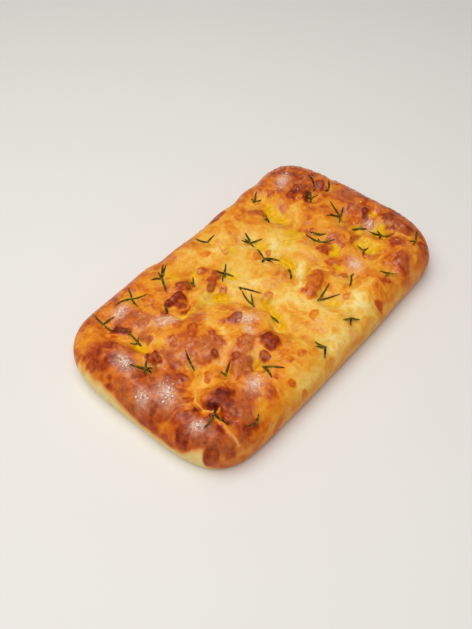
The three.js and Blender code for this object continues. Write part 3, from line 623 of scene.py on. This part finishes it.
def crust_finish(points):
    """What lies on the crust at each point, 0 to 1, by name, the painted sheen and the salt's
    painted highlight among them. Oil and the painted sheen keep off the walls and the browned
    blister caps, oil runs off the ridges, and the painted sheen stays out of the oil."""
    x, y, z = points.T
    wx, wy = wander(x, y)
    upper = smooth(16, 24, z)
    tops = pillows(x, y)
    cover, cap_brown = blister_caps(x, y)[1:]
    bare = upper * (1 - cover * smooth(0.65, 0.8, cap_brown))
    off_ridge = 1 - smooth(0.25, 0.7, folds(x, y)[1])
    pooled = smooth(0.35, 0.8, bell(wx, wy, OIL) + 0.25 * (1 - tops))
    # The painted sheen, standing in for the lamp's reflection: the listed patches and the pillow
    # tops, kept out of the pooled oil.
    roughness_and_sheen = bell(wx, wy, SHEEN_PATCHES) + 0.65 * tops * smooth(-0.3, 0.3, plan(x, y, 20, 18))
    sheen_cover = (1 - 0.9 * pooled) * smooth(0.2, 0.7, roughness_and_sheen)
    return {
        "bake": browning(points),
        "oil": bare * off_ridge * pooled,
        "green": bare * off_ridge * np.clip(bell(wx, wy, GREEN), 0, 1),
        "painted_sheen": (0.35 * upper + 0.65 * bare) * sheen_cover,
        # Dissolved salt with a painted highlight over it, on the top only.
        "salt_and_glint": upper * salt_and_glint_spread(x, y),
        "gloss": smooth(26, 33, z),
        "dough": pale_band(points)[0],
    }


points, faces = loaf_surface()
loaf = make_mesh("loaf_crust", points, faces, crust_finish(points))


def srgb(code):
    """Linear red, green, blue and full alpha of a colour written as six hex digits."""
    parts = np.array([int(code[k : k + 2], 16) / 255 for k in (0, 2, 4)])
    linear = np.where(parts <= 0.04045, parts / 12.92, ((parts + 0.055) / 1.055) ** 2.4)
    return (*linear.tolist(), 1.0)


class Nodes:
    """Adds nodes to a material: values go straight into sockets, and sockets are linked."""

    def __init__(self, name):
        self.material = bpy.data.materials.new(name)
        self.material.use_nodes = True
        self.tree = self.material.node_tree
        self.tree.nodes.clear()

    def add(self, kind, inputs=None, **settings):
        """A node with its settings, and each input set to a value or linked to a socket."""
        node = self.tree.nodes.new(kind)
        for key, value in settings.items():
            setattr(node, key, value)
        for key, value in (inputs or {}).items():
            if isinstance(value, bpy.types.NodeSocket):
                self.tree.links.new(value, node.inputs[key])
            else:
                node.inputs[key].default_value = value
        return node

    def value(self, attribute):
        """A per-point value of the piece, by name."""
        return self.add("ShaderNodeAttribute", attribute_name=attribute).outputs["Fac"]

    def math(self, operation, *values):
        """One arithmetic step on values or sockets."""
        node = self.add("ShaderNodeMath", operation=operation)
        for socket, value in zip(node.inputs, values):
            if isinstance(value, bpy.types.NodeSocket):
                self.tree.links.new(value, socket)
            else:
                socket.default_value = value
        return node.outputs[0]

    def noise(self, size, detail=3, roughness=0.55):
        """Noise on the piece's own coordinates, with the given size in millimetres."""
        place = self.add("ShaderNodeTexCoord").outputs["Object"]
        settings = {"Vector": place, "Scale": 1 / (size * MM), "Detail": detail}
        settings["Roughness"] = roughness
        return self.add("ShaderNodeTexNoise", settings).outputs["Fac"]

    def span(self, value, from_low, from_high, to_low=0.0, to_high=1.0):
        """The value moved from one range to another in a straight line, and held at its ends."""
        inputs = {"Value": value, 1: from_low, 2: from_high, 3: to_low, 4: to_high}
        return self.add("ShaderNodeMapRange", inputs).outputs[0]

    def mix(self, factor, first, second):
        """The first colour at a factor of 0, the second at 1."""
        node = self.add("ShaderNodeMix", data_type="RGBA")
        for socket, value in ((0, factor), (6, first), (7, second)):
            if isinstance(value, bpy.types.NodeSocket):
                self.tree.links.new(value, node.inputs[socket])
            else:
                node.inputs[socket].default_value = value
        return node.outputs[2]

    def ramp(self, factor, stops):
        """A colour read off a scale of (position, colour) stops."""
        node = self.add("ShaderNodeValToRGB", {"Fac": factor})
        elements = node.color_ramp.elements
        elements[0].position, elements[0].color = stops[0][0], srgb(stops[0][1])
        elements[1].position, elements[1].color = stops[-1][0], srgb(stops[-1][1])
        for position, colour in stops[1:-1]:
            elements.new(position).color = srgb(colour)
        return node.outputs["Color"]

    def finish(self, inputs):
        """The material with these inputs to its shader."""
        shader = self.add("ShaderNodeBsdfPrincipled", inputs)
        self.add("ShaderNodeOutputMaterial", {"Surface": shader.outputs[0]})
        return self.material


# The colours of baking dough, from pale to nearly black.
BAKED_COLOURS = (
    (0.0, "f6da90"), (0.1, "f4c866"), (0.2, "f0b144"), (0.3, "eb9d2c"), (0.38, "e68d1e"),
    (0.46, "de7c16"), (0.53, "d46c10"), (0.6, "c75b0b"), (0.67, "b64a07"), (0.74, "a53c05"),
    (0.82, "8d2d05"), (0.9, "712005"), (1.0, "541607"),
)


def crust_material():
    """Baked crust: colour by how brown it is, broken up by mottling down to half a millimetre,
    stained yellow and made slick where oil lies, greener by the rosemary, with a painted sheen of
    pale cream and dusty pink for the lamp's reflection, whitened where salt dissolved and under a
    painted highlight, with a fine leathery grain."""
    n = Nodes("baked_crust")
    mottle = n.math("SUBTRACT", n.noise(2.6, 4), 0.5)
    speck = n.math("SUBTRACT", n.noise(0.9, 2), 0.5)
    bake = n.math("MULTIPLY_ADD", mottle, 0.24, n.value("bake"))
    bake = n.math("MULTIPLY_ADD", speck, 0.12, bake)
    colour = n.ramp(bake, BAKED_COLOURS)
    green = n.math("MULTIPLY", n.value("green"), n.span(n.noise(4, 3), 0.35, 0.65, 0.25, 0.6))
    colour = n.mix(green, colour, srgb("d8c045"))
    oil = n.math("MULTIPLY", n.value("oil"), n.span(n.noise(4, 3), 0.3, 0.6, 0.75, 1.0))
    pool = n.mix(n.span(n.noise(3, 3), 0.35, 0.65), srgb("efc000"), srgb("dc9c00"))
    colour = n.mix(oil, colour, pool)
    # Painted sheen for the lamp's reflection: pale cream on the paler crust, dusty pink on the
    # browner.
    sheen_amount = n.math("MULTIPLY", n.value("painted_sheen"), n.span(n.noise(3, 4, 0.6), 0.35, 0.65, 0.15, 0.65))
    sheen_colour = n.mix(n.span(bake, 0.32, 0.55), srgb("f2c07c"), srgb("c4703f"))
    colour = n.mix(sheen_amount, colour, sheen_colour)
    # Dissolved salt round the clumps, whitish pink, with a painted highlight over it.
    patchy = n.span(n.noise(2.4, 4, 0.65), 0.38, 0.62, 0.2, 0.9)
    salt_and_glint_amount = n.math("MULTIPLY", n.value("salt_and_glint"), patchy)
    colour = n.mix(salt_and_glint_amount, colour, srgb("ecccb2"))
    dough = n.mix(n.span(n.noise(6, 4), 0.3, 0.7), srgb("f6dfa0"), srgb("efcb7a"))
    colour = n.mix(n.value("dough"), colour, dough)
    grain = n.math("MULTIPLY_ADD", n.noise(0.7, 3), 0.3, n.noise(2.4, 5, 0.62))
    roughness_and_sheen = n.span(n.noise(7, 3), 0.35, 0.65, 0.3, 0.5)
    rough = n.math("MULTIPLY_ADD", oil, -0.16, roughness_and_sheen)
    rough = n.math("MULTIPLY_ADD", n.value("dough"), 0.3, rough)
    strength = n.math("MULTIPLY_ADD", oil, -0.3, 0.45)
    bump = n.add("ShaderNodeBump", {"Strength": strength, "Distance": 0.9 * MM, "Height": grain})
    shine = n.span(n.noise(5, 3), 0.4, 0.64, 0.1, 0.9)
    shine = n.math("MULTIPLY", shine, n.span(bake, 0.35, 0.6, 0.15, 1))
    shine = n.math("MULTIPLY", shine, n.span(bake, 0.66, 0.82, 1, 0.45))
    coat = n.math("MULTIPLY", n.value("gloss"), shine)
    return n.finish({
        "Base Color": colour,
        "Roughness": rough,
        "Normal": bump.outputs[0],
        "Coat Weight": coat,
        "Coat Roughness": 0.14,
        "Specular IOR Level": 0.12,
    })


loaf.data.materials.append(crust_material())
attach(loaf, "root")
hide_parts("loaf")


# ---- rosemary ----
# Sprigs and loose bunches of needles scattered on before baking. A needle is a narrow leaf with
# its edges rolled under, a groove along the top and a pale underside; the oven darkens its tip.
# Each is a bud with its needles: x, y, then heading in degrees and length of each needle.
SPRIGS = [
    [-112.5, 65, [90, 11.5], [266, 13], [342, 9.5]],
    [-106, 34, [94, 17], [145, 6], [45, 3], [263, 4]],
    [-120, 11, [135, 11.5], [45, 5.5], [225, 9], [315, 5], [270, 6.5]],
    [-81.5, 65.5, [164, 14.5], [58, 11], [323, 12.5], [247, 13]],
    [-50, 63.5, [155, 9.5], [73, 7], [42, 13.5], [31, 13.5], [236, 18]],
    [5.5, 64, [133, 10.5], [0, 8.5]],
    [-70.5, 39, [51, 3], [236, 5.5]],
    [-37.5, 41, [43, 9], [83, 4]],
    [-12, 30, [27, 8], [159, 7], [209, 12.5], [295, 8.5], [234, 4.5]],
    [28.5, 36, [128, 8], [67, 9], [99, 6], [319, 10.5], [255, 5.5]],
    [21.5, 15.5, [72, 12.5], [312, 13.5], [291, 8.5], [205, 7]],
    [61.5, 43, [69, 4.5], [228, 9], [146, 3.5]],
    [71, 65.5, [38, 9.5], [328, 6.5], [130, 4], [203, 6.5]],
    [107.5, 30.5, [214, 7], [45, 6.5], [305, 6], [139, 5.5]],
    [118, 34, [54, 18.5], [201, 4.5]],
    [127, 25, [33, 9], [176, 7]],
    [103.5, -4, [75, 17], [153, 15], [139, 10], [16, 8.5], [210, 13.5]],
    [20.5, -13, [40, 8.5], [222, 6], [63, 5.5]],
    [13, -46, [6, 19], [331, 18.5]],
    [51.5, -51, [212, 15], [351, 3]],
    [15.5, -75.5, [163, 8.5], [207, 10], [290, 7.5]],
    [72.5, -73, [133, 8], [188, 10], [291, 8.5]],
    [68, -8, [118, 13], [302, 12.5], [63, 3.5]],
    [70.5, -.5, [303, 10], [120, 4]],
    [109.5, -42.5, [128, 11.5], [77, 4.5], [199, 8], [293, 11.5]],
    [102, -25, [141, 7], [295, 7]],
    [85, -41, [345, 5.5], [75, 8], [212, 11]],
    [121, -69.5, [27, 8], [128, 8], [195, 11]],
    [-62.5, -51.5, [248, 14.5], [288, 16.5]],
    [-23, -10, [80, 17], [53, 10]],
    [-17.5, 8.5, [287, 18.5], [233, 2.5]],
    [-21.5, -30.5, [84, 4.5], [257, 4.5]],
    [-20, -76.5, [103, 9], [137, 8], [211, 13.5]],
    [-87, -36.5, [23, 10.5], [90, 4.5]],
    [-96.5, -12.5, [69, 12], [249, 4.5]],
    [-118, -53, [198, 14.5], [274, 13.5], [14, 4]],
    [-103, -78.5, [165, 8], [27, 6.5]],
]
NEEDLE_WIDTH, NEEDLE_THICKNESS = 1.9, 1.0
NEEDLE_STEPS, NEEDLE_SIDES = 13, 10
BUD_RADII = (1.3, 0.85, 0.75)
BUD_HEIGHT = 0.8
BUD_ROWS, BUD_SIDES = 6, 8


def ring_faces(number):
    """Quads round a stack of rings, from one ring's numbers to the next."""
    corners = (number[:-1], number[1:], np.roll(number[1:], -1, 1), np.roll(number[:-1], -1, 1))
    return np.stack(corners, axis=-1).reshape(-1, 4)


def end_fans(first_end, first_ring, last_end, last_ring):
    """Triangles from the point at each end of a stack of rings to the ring next to it."""
    first = [np.full_like(first_ring, first_end), np.roll(first_ring, -1), first_ring]
    last = [np.full_like(last_ring, last_end), last_ring, np.roll(last_ring, -1)]
    return np.vstack([np.column_stack(first), np.column_stack(last)])


def drape(x, y, bud_height):
    """Heights of a springy needle along its path: the parabola nearest to the crust's height
    in plan, raised six tenths of the way over its bumps, and pulled to the bud at its base."""
    s = np.linspace(0, 1, len(x))
    under = crust(x, y)
    curve = np.polyval(np.polyfit(s, under, 2), s)
    curve += np.max(under - curve) * 0.6 + NEEDLE_THICKNESS * 0.45
    return curve + (bud_height - curve[0]) * (1 - s) ** 3


def needle(bud, heading, length, rng):
    """One needle as rings along its path. Across, the section is an ellipse with a groove
    above and below; along, the width grows fast from the stalk and tapers to the tip."""
    s = np.linspace(0, 1, NEEDLE_STEPS)
    turn = np.radians(heading) + rng.uniform(-0.5, 0.5) * (s - 0.3)
    step = length / (NEEDLE_STEPS - 1)
    x = bud[0] + np.append(0, np.cumsum(step * np.cos(turn[1:])))
    y = bud[1] + np.append(0, np.cumsum(step * np.sin(turn[1:])))
    path = np.column_stack([x, y, drape(x, y, bud[2])])
    ahead = np.gradient(path, axis=0)
    ahead /= np.linalg.norm(ahead, axis=1)[:, None]
    side = np.cross((0, 0, 1), ahead)
    side /= np.linalg.norm(side, axis=1)[:, None]
    roll = rng.uniform(-0.6, 0.6)
    side = side * np.cos(roll) + np.cross(ahead, side) * np.sin(roll)
    up = np.cross(ahead, side)
    swell = np.sin(np.pi * np.clip(0.06 + 0.9 * s, 0, 1)) ** 0.55 * (1.05 - 0.4 * s)
    swell[0], swell[-1] = 0.3, 0.04
    angles = np.linspace(0, 2 * np.pi, NEEDLE_SIDES, endpoint=False)
    across = np.cos(angles) * NEEDLE_WIDTH / 2 * rng.uniform(0.8, 1.2)
    height = np.sin(angles) * NEEDLE_THICKNESS / 2
    height -= 0.22 * np.exp(-((across / 0.3) ** 2)) * np.sign(height)
    rings = (
        path[:, None]
        + swell[:, None, None] * across[None, :, None] * side[:, None]
        + swell[:, None, None] * height[None, :, None] * up[:, None]
    )
    number = np.arange(NEEDLE_STEPS * NEEDLE_SIDES).reshape(NEEDLE_STEPS, NEEDLE_SIDES)
    quads = ring_faces(number)[:, ::-1]
    fans = end_fans(number.size, number[0], number.size + 1, number[-1])
    ends = np.vstack([path[0] - 0.05 * ahead[0], path[-1] + 0.1 * ahead[-1]])
    pale = np.append(np.tile(smooth(0.1, -0.6, np.sin(angles)), NEEDLE_STEPS), [0, 0])
    along = np.append(np.repeat(s, NEEDLE_SIDES), [0, 1])
    return np.vstack([rings.reshape(-1, 3), ends]), quads, fans, pale, along


def bud_surface(bud, rng):
    """The woody bud that the needles grow from: a small sphere, longer one way, with a pole at
    the top and bottom."""
    polar = np.linspace(0, np.pi, BUD_ROWS + 2)[1:-1]
    turn = np.linspace(0, 2 * np.pi, BUD_SIDES, endpoint=False)
    polar, turn = np.meshgrid(polar, turn, indexing="ij")
    ball = [np.sin(polar) * np.cos(turn), np.sin(polar) * np.sin(turn), np.cos(polar)]
    ball = np.stack(ball, axis=-1).reshape(-1, 3)
    ball = np.vstack([ball, [(0, 0, 1), (0, 0, -1)]]) * BUD_RADII
    angle = rng.uniform(0, np.pi)
    cos, sin = np.cos(angle), np.sin(angle)
    spin = np.array([(cos, -sin, 0), (sin, cos, 0), (0, 0, 1)])
    number = np.arange(BUD_ROWS * BUD_SIDES).reshape(BUD_ROWS, BUD_SIDES)
    fans = end_fans(number.size, number[0], number.size + 1, number[-1])[:, ::-1]
    return ball @ spin.T + bud, ring_faces(number), fans


def make_sprig(name, x, y, needles, seed):
    """A bud on the crust and its needles in one mesh, with a tone of its own for each needle."""
    rng = np.random.default_rng(seed)
    height = float(crust(np.array([float(x)]), np.array([float(y)]))[0])
    bud = np.array([x, y, height + BUD_HEIGHT])
    points, quads, fans = bud_surface(bud, rng)
    values = {"pale": [np.full(len(points), 0.5)], "along": [np.zeros(len(points))]}
    values["tone"] = [np.full(len(points), 0.9)]
    parts, faces, used = [points], [quads, fans], len(points)
    for heading, length in needles:
        points, quads, fans, pale, along = needle(bud, heading, length, rng)
        parts.append(points)
        faces += [quads + used, fans + used]
        used += len(points)
        values["pale"].append(pale)
        values["along"].append(along)
        values["tone"].append(np.full(len(points), rng.uniform(0, 1)))
    values = {key: np.concatenate(v) for key, v in values.items()}
    return make_mesh(name, np.vstack(parts), faces, values)


def needle_material():
    """Roasted needle: dark green with olive patches painted in as highlights, lighter and greyer
    below, brown towards some tips, with a satin, slightly oily skin and fine dots of resin."""
    n = Nodes("rosemary_needle")
    tone = n.value("tone")
    green = n.mix(tone, srgb("1a1303"), srgb("55460b"))
    # Olive patches at random: painted highlights on the oily needles.
    green = n.mix(n.span(n.noise(2.5, 3), 0.45, 0.7, 0.0, 0.7), green, srgb("8d7e1c"))
    green = n.mix(n.math("MULTIPLY", n.value("pale"), 0.6), green, srgb("8f8850"))
    scorch = n.math("MULTIPLY", n.span(n.value("along"), 0.6, 1.0), n.span(tone, 0.3, 0.9))
    colour = n.mix(n.math("MULTIPLY", scorch, 0.75), green, srgb("321a08"))
    resin = {"Strength": 0.5, "Distance": 0.1 * MM, "Height": n.noise(0.25, 2)}
    return n.finish({
        "Base Color": colour,
        "Roughness": n.span(n.noise(2, 2), 0.3, 0.7, 0.4, 0.6),
        "Normal": n.add("ShaderNodeBump", resin).outputs[0],
        "Specular IOR Level": 0.1,
    })


leaf = needle_material()
for index, (x, y, *needles) in enumerate(SPRIGS, start=1):
    sprig = make_sprig(f"rosemary_sprig_{index:02d}", x, y, needles, 100 + index)
    sprig.data.materials.append(leaf)
    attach(sprig, "root")
    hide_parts(f"rosemary_{index:02d}")


# ---- salt ----
# Flaky sea salt, thrown on by the pinch: clumps where it landed thick, and single grains
# between them. Each grain is a small skewed block that lies nearly flat.
# Thin scatters of grains: x, y, reach.
SALT_LOOSE = np.array([
    (56.5, -70.5, 3), (51, -20, 3), (-95.5, -86, 4), (78.5, 68, 3), (-52.5, -58.5, 4),
    (-4, -60, 3), (-24, 55, 3), (101, 48, 4), (-57.5, -19, 4), (-55.5, -29, 4), (-145, 15.5, 4),
    (-41, -6.5, 4), (82.5, -51.5, 3), (116, -8, 4), (-119, -58, 4), (73, 10.5, 4), (67, 1, 3),
    (-50.5, -3, 4), (21.5, -48.5, 3),
])
# The corners of a cube one across, and its faces with their fronts outwards.
CUBE = np.array([(x, y, z) for x in (-1, 1) for y in (-1, 1) for z in (-1, 1)]) / 2
CUBE_FACES = np.array(
    [(0, 1, 3, 2), (4, 6, 7, 5), (0, 4, 5, 1), (2, 3, 7, 6), (0, 2, 6, 4), (1, 5, 7, 3)]
)


def grains(x, y, size, rng):
    """One skewed block for each place: a cube with its corners pushed about, flattened,
    tipped and turned at random, its lowest corner a tenth of its size below crust(x, y)."""
    count = len(x)
    corners = CUBE + rng.uniform(-0.16, 0.16, (count, 8, 3))
    sides = size[:, None] * rng.uniform((0.8, 0.55, 0.3), (1.3, 1.0, 0.7), (count, 3))
    corners = corners * sides[:, None]
    spin = rng.uniform(0, 2 * np.pi, count)[:, None]
    tip = rng.normal(0, 0.35, count)[:, None]
    cx, cy, cz = np.moveaxis(corners, -1, 0)
    cy, cz = cy * np.cos(tip) - cz * np.sin(tip), cy * np.sin(tip) + cz * np.cos(tip)
    cx, cy = cx * np.cos(spin) - cy * np.sin(spin), cx * np.sin(spin) + cy * np.cos(spin)
    cz = cz - cz.min(axis=1)[:, None] + crust(x, y)[:, None] - 0.1 * size[:, None]
    points = np.stack([cx + x[:, None], cy + y[:, None], cz], axis=-1).reshape(-1, 3)
    faces = (CUBE_FACES[None] + 8 * np.arange(count)[:, None, None]).reshape(-1, 4)
    return points, faces


def salt_material():
    """Salt crystal: white with a faint warm tint, glossy, with a little light passing in."""
    n = Nodes("sea_salt")
    colour = n.mix(n.noise(1.2, 2), srgb("f4e6d8"), srgb("ead0ba"))
    worn = {"Strength": 0.4, "Distance": 0.1 * MM, "Height": n.noise(0.4, 2)}
    return n.finish({
        "Base Color": colour,
        "Roughness": n.span(n.noise(0.8, 2), 0.3, 0.7, 0.15, 0.4),
        "Normal": n.add("ShaderNodeBump", worn).outputs[0],
        "Subsurface Weight": 0.2,
        "Subsurface Radius": (0.5 * MM, 0.4 * MM, 0.35 * MM),
    })


def add_salt(name, x, y, size, rng):
    """One piece of many grains, flat on every face."""
    points, faces = grains(x, y, size, rng)
    piece = make_mesh(name, points, [faces])
    piece.data.shade_flat()
    piece.data.materials.append(crystal)
    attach(piece, "root")
    return piece


crystal = salt_material()
for index, (x, y, half_length, half_width, heading) in enumerate(SALT, start=1):
    rng = np.random.default_rng(300 + index)
    count = int(2.2 * half_length * half_width)
    u, v = rng.normal(0, 0.5, (2, count)) * ((half_length,), (half_width,))
    turn = np.radians(heading)
    gx, gy = x + u * np.cos(turn) - v * np.sin(turn), y + u * np.sin(turn) + v * np.cos(turn)
    size = rng.gamma(3, 0.15, count).clip(0.25, 1.2)
    clump = add_salt(f"salt_clump_{index:02d}", gx, gy, size, rng)
    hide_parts(f"salt_{index:02d}")

rng = np.random.default_rng(400)
spots = [rng.normal((x, y), reach, (7, 2)) for x, y, reach in SALT_LOOSE]
spots += [rng.normal((x, y), 1.5 * length, (8, 2)) for x, y, length, _, _ in SALT]
spots += [rng.uniform((-125, -70), (125, 68), (70, 2))]
spots = np.vstack(spots)
spots = spots[(np.abs(spots[:, 0]) < 132) & (np.abs(spots[:, 1]) < 74)]
size = rng.gamma(3, 0.12, len(spots)).clip(0.2, 1.0)
add_salt("salt_loose", spots[:, 0], spots[:, 1], size, rng)


# ---- the setting ----
# A pale sweep three metres across under the loaf, a white room round it, one broad soft lamp
# overhead and a camera above the corner at -X, -Y. The lamp and camera are placed in metres.
FLOOR_HALF = 1500.0
ROOM_STRENGTH = 0.36
LAMP_PLACE, LAMP_SIZE, LAMP_POWER = (-0.27, 0.08, 1.12), 1.1, 11.8
LENS, SENSOR = 37.83, 36
TARGET = np.array([-0.0204, 0.0103, 0.0])
EYE_DIRECTION, EYE_DISTANCE = np.array([-0.4761, -0.4052, 0.7804]), 0.55

floor_corners = FLOOR_HALF * np.array([(-1, -1, 0), (1, -1, 0), (1, 1, 0), (-1, 1, 0)])
floor = make_mesh("floor", floor_corners, [np.array([(0, 1, 2, 3)])])
sweep = Nodes("pale_sweep")
sweep_colour = sweep.mix(sweep.noise(400, 2), srgb("ebe8e3"), srgb("e7e4de"))
floor.data.materials.append(sweep.finish({"Base Color": sweep_colour, "Roughness": 0.9}))

world = bpy.data.worlds.new("white_room")
world.use_nodes = True
walls = world.node_tree.nodes["Background"].inputs
walls["Color"].default_value = srgb("f4f3f0")
walls["Strength"].default_value = ROOM_STRENGTH
bpy.context.scene.world = world


def aim(thing, place, target):
    """Puts a lamp or camera at a place, looking at a target, with its top upwards."""
    thing.location = place
    back = np.array(place) - np.array(target)
    back /= np.linalg.norm(back)
    right = np.cross((0, 0, 1), back)
    right /= np.linalg.norm(right)
    turn = np.column_stack([right, np.cross(back, right), back])
    thing.rotation_mode = "QUATERNION"
    thing.rotation_quaternion = Matrix(turn.tolist()).to_quaternion()


lamp = bpy.data.lights.new("overhead", "AREA")
lamp.shape, lamp.size, lamp.energy = "SQUARE", LAMP_SIZE, LAMP_POWER
overhead = bpy.data.objects.new("overhead", lamp)
bpy.context.scene.collection.objects.link(overhead)
aim(overhead, LAMP_PLACE, (0, 0, 0))

camera = bpy.data.cameras.new("camera")
camera.lens, camera.sensor_width = LENS, SENSOR
eye = bpy.data.objects.new("camera", camera)
bpy.context.scene.collection.objects.link(eye)
aim(eye, TARGET + EYE_DISTANCE * EYE_DIRECTION, TARGET)
bpy.context.scene.camera = eye
bpy.context.scene.view_settings.view_transform = "Standard"
